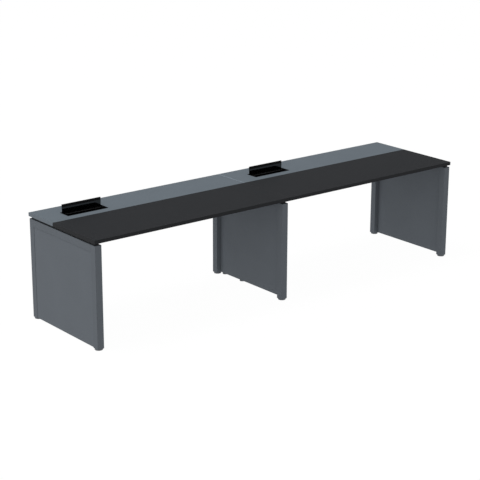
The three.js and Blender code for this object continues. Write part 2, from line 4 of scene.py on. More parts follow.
import bpy
import numpy as np
from mathutils import Matrix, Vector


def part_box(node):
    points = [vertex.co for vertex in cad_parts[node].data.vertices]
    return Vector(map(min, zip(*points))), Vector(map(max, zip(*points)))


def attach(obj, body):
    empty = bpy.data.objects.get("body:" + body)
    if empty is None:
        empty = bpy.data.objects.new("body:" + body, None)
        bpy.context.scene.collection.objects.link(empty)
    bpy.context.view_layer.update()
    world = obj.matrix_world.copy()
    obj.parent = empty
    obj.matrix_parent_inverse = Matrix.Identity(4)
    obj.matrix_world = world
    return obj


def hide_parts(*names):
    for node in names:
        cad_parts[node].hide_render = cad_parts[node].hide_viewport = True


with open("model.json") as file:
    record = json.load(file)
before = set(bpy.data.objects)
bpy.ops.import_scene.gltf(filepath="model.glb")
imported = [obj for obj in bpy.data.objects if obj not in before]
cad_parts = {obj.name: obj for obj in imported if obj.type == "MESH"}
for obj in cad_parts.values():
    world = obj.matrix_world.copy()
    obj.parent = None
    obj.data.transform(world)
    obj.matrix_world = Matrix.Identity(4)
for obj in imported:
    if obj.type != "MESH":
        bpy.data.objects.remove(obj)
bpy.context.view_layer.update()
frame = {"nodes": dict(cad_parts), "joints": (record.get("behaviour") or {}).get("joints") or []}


# Tops: particle board, 25 mm thick, faced with melamine that has a fine pebbled skin, black in
# front and grey behind. Each rear board has a cut-out for its flap box. The boards lie on the
# spacer bars and are screwed up from below.
BLACK_FACE = (0.028, 0.0295, 0.0322)
GREY_FACE = (0.157, 0.1850, 0.2110)
MELAMINE = {"roughness": 0.62, "grain": 0.0016, "lift": 0.00012}
BAND_THICKNESS = 0.002
BOARD_CORNER = 0.0006
CUT_OUT_LAP = 0.003
CUT_OUT_CORNER = 0.004
SEAM_GAP = 0.00005
CORNER_STEPS = 5
SHARP_ANGLE = 32
BROAD_SCALE = 5.0
BROAD_DETAIL = 3.0
FINE_DETAIL = 2.0
FLECK_SHARE = 0.6
GLOSS_SPREAD = 0.06
LEAST_ROUGHNESS = 0.02
BUMP_STRENGTH = 0.25


def top_box(node):
    """The low and the high corner of a top, drawn out until it all but meets its neighbour at the
    seam of the row, where x is 0."""
    low, high = (corner.copy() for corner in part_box(node))
    if high.x < 0:
        high.x = -SEAM_GAP / 2
    else:
        low.x = SEAM_GAP / 2
    return low, high


def rounded_rings(rows):
    """One rounded rectangle for each row of centre x, centre y, half length, half depth, corner
    radius and height.

    A point is the middle of its corner's arc plus the radius along the angle. The angle goes once
    round, and each quarter of it belongs to one corner."""
    centre_x, centre_y, half_x, half_y, radius, height = np.asarray(rows, float).T[:, :, None]
    quarter = np.arange(4)[:, None] + np.linspace(0, 1, CORNER_STEPS)
    angle = quarter.ravel() * math.pi / 2
    side_x = np.repeat([1, -1, -1, 1], CORNER_STEPS)
    side_y = np.repeat([1, 1, -1, -1], CORNER_STEPS)
    x = centre_x + side_x * (half_x - radius) + radius * np.cos(angle)
    y = centre_y + side_y * (half_y - radius) + radius * np.sin(angle)
    return np.stack([x, y, height + 0 * x], axis=-1)


def ring_mesh(name, rings, looped=False):
    """A closed skin over a grid of rings: each ring is joined to the next by quads.

    The last ring is joined to the first where the skin loops through a hole, and otherwise the
    first and the last ring are each closed by one flat face."""
    rows, around = rings.shape[:2]
    index = np.arange(rows * around).reshape(rows, around)
    lower = index if looped else index[:-1]
    upper = np.roll(index, -1, axis=0) if looped else index[1:]
    quads = np.stack([lower, np.roll(lower, -1, 1), np.roll(upper, -1, 1), upper], axis=-1)
    faces = quads.reshape(-1, 4).tolist()
    if not looped:
        faces += [index[0, ::-1].tolist(), index[-1].tolist()]
    mesh = bpy.data.meshes.new(name)
    mesh.from_pydata(rings.reshape(-1, 3).tolist(), [], faces)
    mesh.shade_smooth()
    mesh.set_sharp_from_angle(angle=math.radians(SHARP_ANGLE))
    piece = bpy.data.objects.new(name, mesh)
    bpy.context.scene.collection.objects.link(piece)
    weighted = piece.modifiers.new("even_shading", "WEIGHTED_NORMAL")
    weighted.keep_sharp = True
    return piece


def fit_out(piece, material, slot, *nodes, body="desk"):
    """Gives a piece its finish, the body that carries it and the solids that it stands for."""
    piece.data.materials.append(material)
    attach(piece, body)
    if nodes:
        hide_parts(*nodes)
    return piece


def grained_finish(name, colour, roughness, grain, lift, drift=0.05, specular=0.5):
    """Paint, melamine or moulded plastic: a broad noise drifts the colour a little, and a fine one,
    of the size of the grain, lifts the surface, flecks the colour and varies the gloss."""
    material = bpy.data.materials.new(name)
    material.use_nodes = True
    nodes, links = material.node_tree.nodes, material.node_tree.links
    shader = nodes["Principled BSDF"]
    shader.inputs["Specular IOR Level"].default_value = specular
    place = nodes.new("ShaderNodeTexCoord").outputs["Object"]
    noises = {}
    kinds = (("broad", BROAD_SCALE, BROAD_DETAIL), ("fine", 1 / grain, FINE_DETAIL))
    for kind, scale, detail in kinds:
        noises[kind] = nodes.new("ShaderNodeTexNoise")
        noises[kind].inputs["Scale"].default_value = scale
        noises[kind].inputs["Detail"].default_value = detail
        links.new(place, noises[kind].inputs["Vector"])
    tint = nodes.new("ShaderNodeMixRGB")
    tint.inputs["Color1"].default_value = [c * (1 - drift) for c in colour] + [1]
    tint.inputs["Color2"].default_value = [c * (1 + drift) for c in colour] + [1]
    share = nodes.new("ShaderNodeMath")
    share.operation = "ADD"
    links.new(noises["broad"].outputs["Fac"], share.inputs[0])
    fleck = nodes.new("ShaderNodeMath")
    fleck.operation = "MULTIPLY_ADD"
    fleck.inputs[1].default_value = FLECK_SHARE
    fleck.inputs[2].default_value = -FLECK_SHARE / 2
    links.new(noises["fine"].outputs["Fac"], fleck.inputs[0])
    links.new(fleck.outputs[0], share.inputs[1])
    links.new(share.outputs[0], tint.inputs["Fac"])
    links.new(tint.outputs["Color"], shader.inputs["Base Color"])
    gloss = nodes.new("ShaderNodeMapRange")
    gloss.inputs["To Min"].default_value = max(roughness - GLOSS_SPREAD, LEAST_ROUGHNESS)
    gloss.inputs["To Max"].default_value = roughness + GLOSS_SPREAD
    links.new(noises["fine"].outputs["Fac"], gloss.inputs["Value"])
    links.new(gloss.outputs["Result"], shader.inputs["Roughness"])
    bump = nodes.new("ShaderNodeBump")
    bump.inputs["Strength"].default_value = BUMP_STRENGTH
    bump.inputs["Distance"].default_value = lift
    links.new(noises["fine"].outputs["Fac"], bump.inputs["Height"])
    links.new(bump.outputs["Normal"], shader.inputs["Normal"])
    return material


black_melamine = grained_finish("black_melamine", BLACK_FACE, **MELAMINE, specular=0.01)
grey_melamine = grained_finish("grey_melamine", GREY_FACE, **MELAMINE, specular=0.01)
for bay in ("left", "right"):
    node = f"{bay}_front_top"
    low, high = top_box(node)
    middle, half = (low + high) / 2, (high - low) / 2
    rim = [middle.x, middle.y, half.x - BAND_THICKNESS, half.y - BAND_THICKNESS, BOARD_CORNER]
    board = ring_mesh(f"{node}_board", rounded_rings([rim + [low.z], rim + [high.z]]))
    fit_out(board, black_melamine, "black_top", node)

    node = f"{bay}_rear_top"
    low, high = top_box(node)
    middle, half = (low + high) / 2, (high - low) / 2
    bezel_low, bezel_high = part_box(f"{bay}_flap_bezel")
    hole, hole_half = (bezel_low + bezel_high) / 2, (bezel_high - bezel_low) / 2
    rim = [middle.x, middle.y, half.x - BAND_THICKNESS, half.y - BAND_THICKNESS, BOARD_CORNER]
    edge = [hole.x, hole.y, hole_half.x - CUT_OUT_LAP, hole_half.y - CUT_OUT_LAP, CUT_OUT_CORNER]
    rings = rounded_rings([rim + [low.z], rim + [high.z], edge + [high.z], edge + [low.z]])
    board = ring_mesh(f"{node}_board", rings, looped=True)
    fit_out(board, grey_melamine, "grey_top", node)


# Edge bands: a 2 mm strip of plastic in the colour of the board, pressed on hot round all four
# edges and trimmed to a small radius above and below. Where the grey tops meet at the seam of the
# row, a paler line is painted into their bands: a painted highlight along the seam.
BLACK_BAND = (0.0190, 0.0200, 0.0220)
GREY_BAND = (0.145, 0.1680, 0.1910)
# painted highlight: the pale tone painted along the seam where the grey tops meet
SEAM_HIGHLIGHT_TONE = (0.320, 0.3800, 0.4350)
BAND_PLASTIC = {"roughness": 0.50, "grain": 0.0030, "lift": 0.00006, "specular": 0.05}
BAND_EASE = 0.0013
BAND_JOINT = 0.00015
BAND_CORNER = 0.0025
BAND_INNER_CORNER = 0.0004
SEAM_X = 0.0
SEAM_HIGHLIGHT_REACH = 0.003


def quarter_turn(steps=4):
    """How far in and how far up an edge is along a quarter round of radius 1, from its flat to its
    side."""
    angle = np.linspace(0, math.pi / 2, steps + 1)
    return np.stack([1 - np.sin(angle), 1 - np.cos(angle)], axis=-1)


def inset_rows(middle, half, inset, corner, height):
    """Rows for rounded rings about one middle, each drawn in from the half sizes by its inset."""
    same = np.ones_like(inset)
    rows = [middle[0] * same, middle[1] * same, half[0] - inset, half[1] - inset, corner, height]
    return np.stack(rows, axis=-1)


def band_rows(middle, half, low_z, high_z):
    """The section of a band carried round a board: up its outer side, over the rounded top edge to
    the joint with the board, down its hidden side and back over the rounded bottom edge."""
    ease = quarter_turn() * BAND_EASE
    outer = np.concatenate([
        np.stack([ease[:, 0], low_z + ease[:, 1]], axis=-1),
        np.stack([ease[::-1, 0], high_z - ease[::-1, 1]], axis=-1),
    ])
    hidden = [[BAND_THICKNESS - BAND_JOINT, high_z], [BAND_THICKNESS, high_z - BAND_JOINT]]
    hidden += [[BAND_THICKNESS, low_z + BAND_JOINT], [BAND_THICKNESS - BAND_JOINT, low_z]]
    inset, height = np.concatenate([outer, hidden]).T
    corner = np.maximum(BAND_CORNER - inset, BAND_INNER_CORNER)
    return inset_rows(middle, half, inset, corner, height)


def paint_seam_highlight(material):
    """Paints a highlight into a finish: a pale tone mixed in within a few millimetres of the seam
    of the row.
    """
    nodes, links = material.node_tree.nodes, material.node_tree.links
    shade = nodes["Principled BSDF"].inputs["Base Color"]
    place = nodes.new("ShaderNodeSeparateXYZ")
    links.new(nodes["Texture Coordinate"].outputs["Object"], place.inputs[0])
    # painted highlight mask: 1 within the reach of the seam, 0 elsewhere
    seam_highlight_mask = nodes.new("ShaderNodeMath")
    seam_highlight_mask.operation = "COMPARE"
    seam_highlight_mask.inputs[1].default_value = SEAM_X
    seam_highlight_mask.inputs[2].default_value = SEAM_HIGHLIGHT_REACH
    links.new(place.outputs["X"], seam_highlight_mask.inputs[0])
    seam_highlight_mix = nodes.new("ShaderNodeMixRGB")
    seam_highlight_mix.inputs["Color2"].default_value = (*SEAM_HIGHLIGHT_TONE, 1)
    links.new(seam_highlight_mask.outputs[0], seam_highlight_mix.inputs["Fac"])
    links.new(shade.links[0].from_socket, seam_highlight_mix.inputs["Color1"])
    links.new(seam_highlight_mix.outputs["Color"], shade)


black_band = grained_finish("black_edge_band", BLACK_BAND, **BAND_PLASTIC)
grey_band = grained_finish("grey_edge_band", GREY_BAND, **BAND_PLASTIC)
# paints a highlight along the seam into the grey edge bands
paint_seam_highlight(grey_band)
for bay in ("left", "right"):
    for line, finish, slot in (("front", black_band, "black_top"), ("rear", grey_band, "grey_top")):
        node = f"{bay}_{line}_top"
        low, high = top_box(node)
        rows = band_rows((low + high) / 2, (high - low) / 2, low.z, high.z)
        band = ring_mesh(f"{node}_edge_band", rounded_rings(rows), looped=True)
        fit_out(band, finish, slot, node)


# Leg frames: square steel tube of 50 mm, welded into an upside-down U, ground flush and powder
# coated grey. A nut plate closes the foot of each post and a cap closes its head.
FRAME_PAINT = (0.117, 0.1305, 0.1470)
POWDER_COAT = {"grain": 0.0011, "lift": 0.00010}
TUBE_CORNER = 0.0015
BORE_CORNER = 0.001
TUBE_WALL = 0.002
POST_CAP = 0.003
POST_EASE = 0.0008
NUT_PLATE = 0.006
THREAD_HOLE = 0.0053
NEAR_ROUND = 0.0001


def laid_along(points, axis):
    """Turns points that were drawn about +Z so that their height runs along another axis, by a
    cyclic swap."""
    return np.roll(points, {"X": 1, "Y": 2, "Z": 0}[axis], axis=-1)


def tube_rings(centre_a, centre_b, half_a, half_b, low, high):
    """A square tube: out along its outer skin from one end to the other, and back along its
    bore."""
    skin = [centre_a, centre_b, half_a, half_b, TUBE_CORNER]
    bore = [centre_a, centre_b, half_a - TUBE_WALL, half_b - TUBE_WALL, BORE_CORNER]
    return rounded_rings([skin + [low], skin + [high], bore + [high], bore + [low]])


def square_row(middle, width, corner, height):
    """A row for rounded rings that is as deep as it is long. It is all but round where the corner
    falls short of the half width by a hair."""
    return [middle.x, middle.y, width, width, corner, height]


def post_rings(low, high):
    """A post from the inside out: down the bore, across the nut plate, down its threaded hole, out
    along the foot, up the outer skin and over the eased edge of the cap."""
    middle, half = (low + high) / 2, (high.x - low.x) / 2
    bore = half - TUBE_WALL
    plate = low.z + NUT_PLATE
    rows = [
        square_row(middle, bore, BORE_CORNER, high.z - POST_CAP),
        square_row(middle, bore, BORE_CORNER, plate),
        square_row(middle, THREAD_HOLE, THREAD_HOLE - NEAR_ROUND, plate),
        square_row(middle, THREAD_HOLE, THREAD_HOLE - NEAR_ROUND, low.z),
    ]
    for inset, rise in quarter_turn() * POST_EASE:
        rows.append(square_row(middle, half - inset, TUBE_CORNER - inset, low.z + rise))
    for inset, rise in quarter_turn()[::-1] * POST_EASE:
        rows.append(square_row(middle, half - inset, TUBE_CORNER - inset, high.z - rise))
    return rounded_rings(rows)


frame_paint = grained_finish("grey_powder_coat", FRAME_PAINT, 0.55, **POWDER_COAT, specular=0.06)
for leg in ("left", "middle", "right"):
    for line in ("front", "rear"):
        node = f"{leg}_{line}_post"
        post = ring_mesh(f"{node}_tube", post_rings(*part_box(node)))
        fit_out(post, frame_paint, "grey_steel", node)
    node = f"{leg}_top_rail"
    low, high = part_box(node)
    middle, half = (low + high) / 2, (high - low) / 2
    rings = tube_rings(middle.z, middle.x, half.z, half.x, low.y, high.y)
    rail = ring_mesh(f"{node}_tube", laid_along(rings, "Y"), looped=True)
    fit_out(rail, frame_paint, "grey_steel", node)


# Leg panels: 15 mm board faced in the grey of the frames, set into each frame near its outer side
# and held by dowels in the posts and the rail. Its edges are lightly sanded.
PANEL_FACE = (0.127, 0.1415, 0.1590)
PANEL_EASE = 0.0010
LEAST_CORNER_SHARE = 0.1


def eased_bar(low, high, axis, corner, ease):
    """A bar between two corners along one axis: a rounded section, drawn in by a quarter round at
    each end."""
    order = {"X": (1, 2, 0), "Y": (2, 0, 1), "Z": (0, 1, 2)}[axis]
    low, high = np.array(low)[list(order)], np.array(high)[list(order)]
    turn = quarter_turn() * ease
    inset = np.concatenate([turn[:, 0], turn[::-1, 0]])
    height = np.concatenate([low[2] + turn[:, 1], high[2] - turn[::-1, 1]])
    corners = np.maximum(corner - inset, LEAST_CORNER_SHARE * corner)
    rows = inset_rows((low + high) / 2, (high - low) / 2, inset, corners, height)
    return laid_along(rounded_rings(rows), axis)


panel_face = grained_finish("grey_panel_melamine", PANEL_FACE, **MELAMINE, specular=0.05)
for leg in ("left", "middle", "right"):
    node = f"{leg}_panel"
    low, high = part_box(node)
    panel = ring_mesh(f"{node}_board", eased_bar(low, high, "Z", PANEL_EASE, PANEL_EASE))
    fit_out(panel, panel_face, "grey_panel", node)


# Spacer bars: black painted steel flats between the frames and the tops. The bearer bar at the
# seam does the same for the right-hand tops, across the beams of that bay.
BLACK_PAINT = (0.012, 0.0120, 0.0130)
BAR_EASE = 0.0012
black_paint = grained_finish("black_powder_coat", BLACK_PAINT, 0.50, **POWDER_COAT, specular=0.2)
for node in ("left_spacer_bar", "middle_spacer_bar", "right_spacer_bar", "right_bearer_bar"):
    low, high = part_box(node)
    bar = ring_mesh(f"{node}_flat", eased_bar(low, high, "Y", BAR_EASE, BAR_EASE))
    fit_out(bar, black_paint, "black_steel", node)


# Levelling feet: a moulded pad with a rounded rim and a sloping shoulder, on a zinc-plated
# threaded stem that screws up into the nut plate. The two under the riser are smaller and have a
# neck above the pad.
PAD_PLASTIC = (0.125, 0.1340, 0.1460)
ZINC = (0.42, 0.4250, 0.4350)
PAD_EASE = 0.0014
POST_STEM = 0.0050
RISER_STEM = 0.0040
STEM_SINK = 0.002
THREAD_PITCH = 0.0015
THREAD_DEPTH = 0.0007
THREAD_STEPS = 6
AROUND = 72
EASE_LIMIT = 0.45
EASE_POINTS = 5


def turned_rings(profile, centre, around=AROUND):
    """A turned shape: each radius and height of the profile goes once round the upright line
    through the centre."""
    radius, height = np.asarray(profile, float).T[:, :, None]
    angle = np.arange(around) * 2 * math.pi / around
    x = centre[0] + radius * np.cos(angle)
    y = centre[1] + radius * np.sin(angle)
    return np.stack([x, y, height + 0 * x], axis=-1)


def threaded_rings(radius, low_z, high_z, centre, around=36):
    """A screw thread: the radius falls and rises once for each pitch of height, and the wave climbs
    one pitch in each turn. It fades to a plain tip at both ends."""
    steps = int((high_z - low_z) / THREAD_PITCH * THREAD_STEPS)
    height = np.linspace(low_z, high_z, steps + 1)[:, None]
    angle = np.arange(around) * 2 * math.pi / around
    wave = np.abs(((height / THREAD_PITCH - angle / (2 * math.pi)) % 1) * 2 - 1)
    fade = np.clip(np.minimum(height - low_z, high_z - height) / THREAD_PITCH, 0, 1)
    reach = radius - THREAD_DEPTH * (1 - fade * (1 - wave))
    x = centre[0] + reach * np.cos(angle)
    y = centre[1] + reach * np.sin(angle)
    return np.stack([x, y, height + 0 * x], axis=-1)


def eased_profile(corners, ease):
    """A profile whose inner corners are rounded: each becomes a few points on the parabola that
    leaves its two sides at the ease's distance from it, or nearer where a side is short."""
    corners = np.asarray(corners, float)
    before, corner, after = corners[:-2], corners[1:-1], corners[2:]
    back = np.linalg.norm(before - corner, axis=1)[:, None]
    onward = np.linalg.norm(after - corner, axis=1)[:, None]
    start = corner + (before - corner) / back * np.minimum(ease, EASE_LIMIT * back)
    end = corner + (after - corner) / onward * np.minimum(ease, EASE_LIMIT * onward)
    share = np.linspace(0, 1, EASE_POINTS)[None, :, None]
    leaving, arriving = (1 - share) ** 2 * start[:, None], share**2 * end[:, None]
    curve = leaving + 2 * share * (1 - share) * corner[:, None] + arriving
    return np.concatenate([corners[:1], curve.reshape(-1, 2), corners[-1:]])


pad_plastic = grained_finish("grey_foot_plastic", PAD_PLASTIC, 0.45, grain=0.0009, lift=0.00006)
zinc_plate = grained_finish("zinc_plate", ZINC, 0.34, grain=0.0007, lift=0.00003, drift=0.10)
zinc_plate.node_tree.nodes["Principled BSDF"].inputs["Metallic"].default_value = 1.0
post_pad = [(0.010, 0.0012), (0.0215, 0.0012), (0.0215, 0.0), (0.0258, 0.0)]
post_pad += [(0.0270, 0.0014), (0.0270, 0.0050), (0.0240, 0.0085), (0.0110, 0.0085)]
riser_pad = [(0.006, 0.0010), (0.0160, 0.0010), (0.0160, 0.0), (0.0200, 0.0)]
riser_pad += [(0.0200, 0.0068), (0.0080, 0.0102), (0.0080, 0.0217), (0.0050, 0.0217)]
feet = []
for leg in ("left", "middle", "right"):
    feet += [(f"{leg}_{line}_foot", post_pad, POST_STEM) for line in ("front", "rear")]
feet += [(f"riser_{line}_foot", riser_pad, RISER_STEM) for line in ("front", "rear")]
for node, pad_profile, stem_radius in feet:
    low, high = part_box(node)
    centre = (low + high) / 2
    body = f"{node}_screw"
    pad = ring_mesh(f"{node}_pad", turned_rings(eased_profile(pad_profile, PAD_EASE), centre))
    fit_out(pad, pad_plastic, "foot_plastic", node, body=body)
    seat = pad_profile[-1][1] - STEM_SINK
    stem = ring_mesh(f"{node}_stem", threaded_rings(stem_radius, seat, high.z, centre))
    fit_out(stem, zinc_plate, "zinc_steel", node, body=body)


# Beams: rectangular steel tube with an end plate that hooks over the rail, painted black, and a
# zinc-plated hexagon bolt through each plate. They are the solids of the frame with a finish.
for bay in ("left", "right"):
    for line in ("front", "rear"):
        frame["nodes"][f"{bay}_{line}_beam"].material_slots[0].material = black_paint
        for end in ("a", "b"):
            bolt = frame["nodes"][f"{bay}_{line}_beam_bolt_{end}"]
            bolt.material_slots[0].material = zinc_plate


# Flap bezels: a matt black plastic frame that drops into the cut-out, with a thin flange on the
# top and a collar that lines the edge of the board and holds the ends of the hinge rod.
MOULDED_BLACK = (0.0030, 0.0030, 0.0033)
MOULDING = {"roughness": 0.55, "grain": 0.0009, "lift": 0.00004, "drift": 0.2, "specular": 0.01}
BEZEL_LAP = 0.0035
BEZEL_WALL = 0.002
BEZEL_EASE = 0.0008
BEZEL_CORNER = 0.003
BEZEL_CORNER_LOSS = 0.4
BEZEL_LEAST_CORNER = 0.0008


def bezel_rings(low, high, top_z):
    """The section of a bezel carried round the cut-out: up the collar, out under the flange, over
    its eased edge, across its top, over the inner edge and down the inside of the collar."""
    ease = quarter_turn() * BEZEL_EASE
    inner = BEZEL_LAP + BEZEL_WALL
    section = [[BEZEL_LAP, low.z], [BEZEL_LAP, top_z], [0.0, top_z]]
    section += [[inset, high.z - rise] for inset, rise in ease[::-1]]
    section += [[inner - inset, high.z - rise] for inset, rise in ease]
    section += [[inner, low.z]]
    inset, height = np.array(section).T
    corner = np.maximum(BEZEL_CORNER - inset * BEZEL_CORNER_LOSS, BEZEL_LEAST_CORNER)
    rows = inset_rows((low + high) / 2, (high - low) / 2, inset, corner, height)
    return rounded_rings(rows)


moulded_black = grained_finish("moulded_black_plastic", MOULDED_BLACK, **MOULDING)
for bay in ("left", "right"):
    node = f"{bay}_flap_bezel"
    low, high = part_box(node)
    top_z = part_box(f"{bay}_rear_top")[1].z
    bezel = ring_mesh(f"{node}_frame", bezel_rings(low, high, top_z), looped=True)
    fit_out(bezel, moulded_black, "black_plastic", node)


# Ledges and stops: four small tongues moulded inside the ends of each bezel. The front two hold
# the closed lid level with the flange, and the rear two meet its tail when it stands open.
LID_THICKNESS = 0.004
LID_REST_GAP = 0.0003
TONGUE_ROOT = 0.001
TONGUE_REACH = 0.004
TONGUE_HEIGHT = 0.005
TONGUE_EASE = 0.0006
LEDGE_SETBACK = 0.004
LEDGE_LENGTH = 0.020
STOP_LENGTH = 0.007
STOP_FROM_HINGE = 0.00574
joints = {joint["name"]: joint for joint in frame["joints"]}
for bay in ("left", "right"):
    node = f"{bay}_flap_bezel"
    low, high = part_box(node)
    rim = BEZEL_LAP + BEZEL_WALL
    ledge_y = low.y + rim + LEDGE_SETBACK
    ledge_top = high.z - LID_THICKNESS - LID_REST_GAP
    stop_y = joints[f"{bay}_lid_hinge"]["pos_m"][1] + STOP_FROM_HINGE
    for end, wall, side in (("left", low.x, 1), ("right", high.x, -1)):
        root, tip = wall + side * (BEZEL_LAP + TONGUE_ROOT), wall + side * (rim + TONGUE_REACH)
        x0, x1 = sorted([root, tip])
        tongues = {
            "ledge": (ledge_y, ledge_y + LEDGE_LENGTH, ledge_top - TONGUE_HEIGHT, ledge_top),
            "stop": (stop_y - STOP_LENGTH, stop_y, low.z, low.z + TONGUE_HEIGHT),
        }
        for kind, (y0, y1, z0, z1) in tongues.items():
            rings = eased_bar((x0, y0, z0), (x1, y1, z1), "X", TONGUE_EASE, TONGUE_EASE)
            tongue = ring_mesh(f"{node}_{end}_{kind}", rings)
            fit_out(tongue, moulded_black, "black_plastic", node)


# Lids: a polished black plastic plate with rounded edges, a slightly bowed front face and an ear
# at each end for the hinge rod. It stands open and leans back a little, with its tail in the box.
GLOSS_BLACK = (0.0012, 0.0012, 0.0014)
POLISH = {"roughness": 0.05, "grain": 0.0040, "lift": 0.00001, "drift": 0.25, "specular": 1.0}
POLISH_IOR = 1.6
LID_FREE_EDGE = 0.0695
LID_TAIL = 0.016
LID_EDGE = 0.0010
LID_CORNER_SHARE = 0.4
LID_ROWS = 40
LID_FACE_RADIUS = 0.416
LID_CROWN = 0.0590
EAR_RADIUS = 0.004
EAR_THICKNESS = 0.003
EAR_BORE = 0.0022


def lean_back(points, hinge, angle):
    """Turns points that are drawn upright at a hinge line along X back by an angle, and puts them
    at the hinge."""
    x, y, z = np.moveaxis(points, -1, 0)
    turned_y = y * math.cos(angle) + z * math.sin(angle)
    turned_z = z * math.cos(angle) - y * math.sin(angle)
    return np.stack([x, turned_y + hinge[1], turned_z + hinge[2]], axis=-1)


def lid_rings(low_x, high_x, back, foot):
    """An upright lid as rounded oblongs one above the other, drawn in by a quarter round at both
    ends. Its back is flat, and its front is a long arc that falls away from the crown as the square
    of the distance from it, and stays as it is below the foot of the arc."""
    turn = quarter_turn() * LID_EDGE
    height = np.linspace(LID_EDGE - LID_TAIL, LID_FREE_EDGE - LID_EDGE, LID_ROWS)[1:-1]
    inset = np.concatenate([turn[:, 0], np.zeros_like(height), turn[::-1, 0]])
    height = np.concatenate([turn[:, 1] - LID_TAIL, height, LID_FREE_EDGE - turn[::-1, 1]])
    fall = (np.maximum(height, foot) - LID_CROWN) ** 2 / (2 * LID_FACE_RADIUS)
    front = back - LID_THICKNESS + fall + inset
    rear = back - inset
    middle_x = (low_x + high_x) / 2 * np.ones_like(height)
    corner = np.minimum(LID_EDGE, (rear - front) * LID_CORNER_SHARE)
    rows = [middle_x, (front + rear) / 2, (high_x - low_x) / 2 - inset, (rear - front) / 2]
    return rounded_rings(np.stack(rows + [corner, height], axis=-1))


def ear_rings(reach, low_x, high_x, around=48):
    """An ear's outline carried through its thickness, and its bore back again. Round the bore the
    outline is a circle towards the front, and towards the plate it runs out as far as the plate's
    middle."""
    angle = np.arange(around) * 2 * math.pi / around
    stretch = 1 / np.maximum(np.abs(np.cos(angle)), np.abs(np.sin(angle)))
    towards_plate = np.cos(angle) > 0
    y = np.where(towards_plate, np.cos(angle) * stretch * reach, np.cos(angle) * EAR_RADIUS)
    z = np.where(towards_plate, np.sin(angle) * stretch, np.sin(angle)) * EAR_RADIUS
    bore_y, bore_z = np.cos(angle) * EAR_BORE, np.sin(angle) * EAR_BORE
    outline, bore = np.stack([y, z], axis=-1), np.stack([bore_y, bore_z], axis=-1)
    section = np.stack([outline, outline, bore, bore])
    height = np.array([low_x, high_x, high_x, low_x])[:, None, None]
    height = np.broadcast_to(height, (4, around, 1))
    return laid_along(np.concatenate([section, height], axis=-1), "X")


gloss_black = grained_finish("gloss_black_plastic", GLOSS_BLACK, **POLISH)
gloss_black.node_tree.nodes["Principled BSDF"].inputs["IOR"].default_value = POLISH_IOR
for bay in ("left", "right"):
    node = f"{bay}_flap_lid"
    low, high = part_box(node)
    joint = joints[f"{bay}_lid_hinge"]
    hinge = joint["pos_m"]
    lean = math.radians(joint["range_deg"][1] - 90)
    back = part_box(f"{bay}_flap_bezel")[1].z - hinge[2]
    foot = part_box(f"{bay}_rear_top")[1].z - hinge[2]
    rings = lean_back(lid_rings(low.x, high.x, back, foot), hinge, lean)
    plate = ring_mesh(f"{node}_plate", rings)
    fit_out(plate, gloss_black, "black_plastic", node, body=f"{bay}_lid")
    for end, ear_x in (("left", low.x), ("right", high.x - EAR_THICKNESS)):
        rings = ear_rings(back - LID_THICKNESS / 2, ear_x, ear_x + EAR_THICKNESS)
        ear = ring_mesh(f"{node}_{end}_ear", lean_back(rings, hinge, lean), looped=True)
        fit_out(ear, gloss_black, "black_plastic", node, body=f"{bay}_lid")


# Hinge rods: blackened steel wire of 4 mm that runs through the ears of the lid into both ends of
# the bezel, with a small chamfer at each end.
ROD_RADIUS = 0.002
ROD_CHAMFER = 0.0004
for bay in ("left", "right"):
    node = f"{bay}_flap_hinge_rod"
    low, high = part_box(node)
    centre = (low + high) / 2
    profile = [(ROD_RADIUS - ROD_CHAMFER, low.x), (ROD_RADIUS, low.x + ROD_CHAMFER)]
    profile += [(ROD_RADIUS, high.x - ROD_CHAMFER), (ROD_RADIUS - ROD_CHAMFER, high.x)]
    rings = laid_along(turned_rings(profile, (centre.y, centre.z), around=32), "X")
    fit_out(ring_mesh(f"{node}_wire", rings), black_paint, "black_steel", node)


# Socket wells and rails: a black painted steel pan that hangs by two tabs under each cut-out, and
# inside it a channel with a window for each socket.
WELL_WALL = 0.002
WELL_CORNER = 0.003
WELL_CHAMFER = 0.001
WELL_TAB = 0.016
TAB_CORNER = 0.002
TAB_EASE = 0.0004
for bay in ("left", "right"):
    node = f"{bay}_socket_well"
    low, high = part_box(node)
    middle, half = (low + high) / 2, (high - low) / 2
    long, deep = half.x - WELL_TAB, half.y
    outer = [middle.x, middle.y, long, deep, WELL_CORNER]
    inner = [middle.x, middle.y, long - WELL_WALL, deep - WELL_WALL, WELL_CORNER - WELL_WALL]
    foot = [middle.x, middle.y, long - WELL_CHAMFER, deep - WELL_CHAMFER]
    rows = [foot + [WELL_CORNER - WELL_CHAMFER, low.z], outer + [low.z + WELL_CHAMFER]]
    rows += [outer + [high.z], inner + [high.z], inner + [low.z + WELL_WALL]]
    fit_out(ring_mesh(f"{node}_pan", rounded_rings(rows)), black_paint, "black_steel", node)
    for end, tab_x in (("left", low.x), ("right", high.x - WELL_TAB)):
        tab_low, tab_high = (tab_x, low.y, high.z - WELL_WALL), (tab_x + WELL_TAB, high.y, high.z)
        rings = eased_bar(tab_low, tab_high, "Z", TAB_CORNER, TAB_EASE)
        fit_out(ring_mesh(f"{node}_{end}_tab", rings), black_paint, "black_steel", node)
    frame["nodes"][f"{bay}_socket_rail"].material_slots[0].material = black_paint


# Power sockets: moulded black plastic with a round well that guides the plug, three sleeved pin
# holes in its floor and a square face plate with eased edges. Each pin hole is shallow, and a
# near-black plug inside it is painted shade that stands for the dark depth of the hole.
SOCKET_PLASTIC = (0.006, 0.0060, 0.0065)
SOCKET_MOULDING = {"roughness": 0.38, "grain": 0.0008, "lift": 0.00005, "specular": 0.2}
